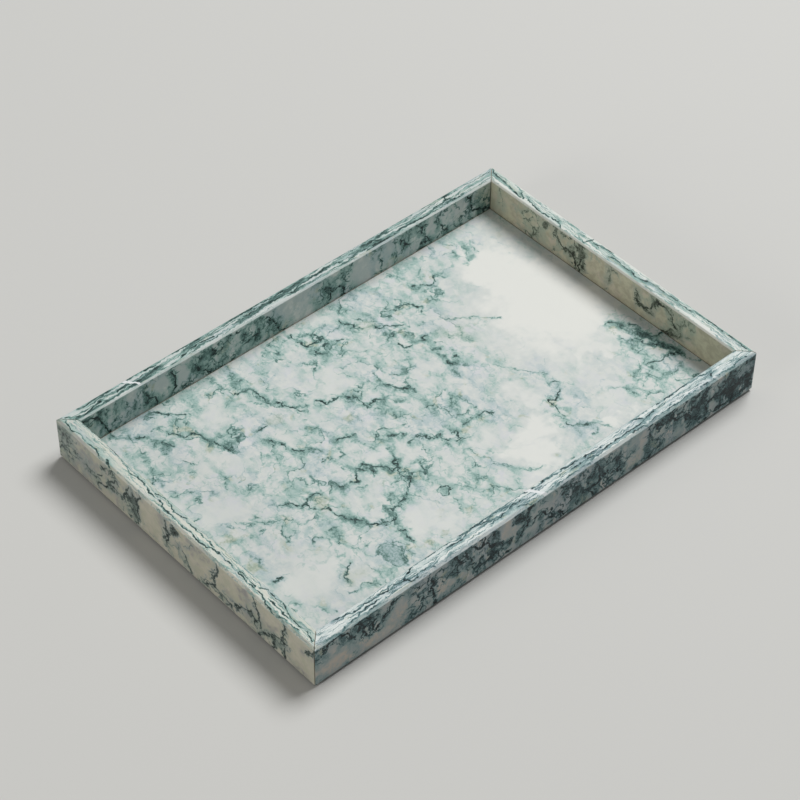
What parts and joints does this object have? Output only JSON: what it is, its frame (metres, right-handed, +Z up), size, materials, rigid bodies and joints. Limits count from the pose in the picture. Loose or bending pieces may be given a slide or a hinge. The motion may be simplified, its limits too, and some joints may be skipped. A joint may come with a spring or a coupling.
{
  "type": "marble serving tray",
  "caption": "Rectangular serving tray of veined marble, with mitred full-height strips bonded round a flat base panel that stands on small round pads.",
  "frame": {"origin": "middle of the surface that the tray stands on, under the middle of its plan", "axes": "+X along the tray's long side, +Y across it towards the back, +Z up"},
  "size_m": [0.3, 0.2, 0.0276],
  "materials": {
    "marble": "honed satin, white with blue-green veins",
    "joint_resin": "cured stone adhesive, dull",
    "foot_pad": "matt black"
  },
  "bodies": {
    "root": {"base_panel": "marble", "rim_front": "marble", "rim_right": "marble", "rim_back": "marble", "rim_left": "marble", "mitre_seam_front_right": "joint_resin", "mitre_seam_back_right": "joint_resin", "mitre_seam_back_left": "joint_resin", "mitre_seam_front_left": "joint_resin", "floor_seam_front": "joint_resin", "floor_seam_right": "joint_resin", "floor_seam_back": "joint_resin", "floor_seam_left": "joint_resin", "foot_pad_front_right": "foot_pad", "foot_pad_back_right": "foot_pad", "foot_pad_back_left": "foot_pad", "foot_pad_front_left": "foot_pad"}
  },
  "joints": []
}
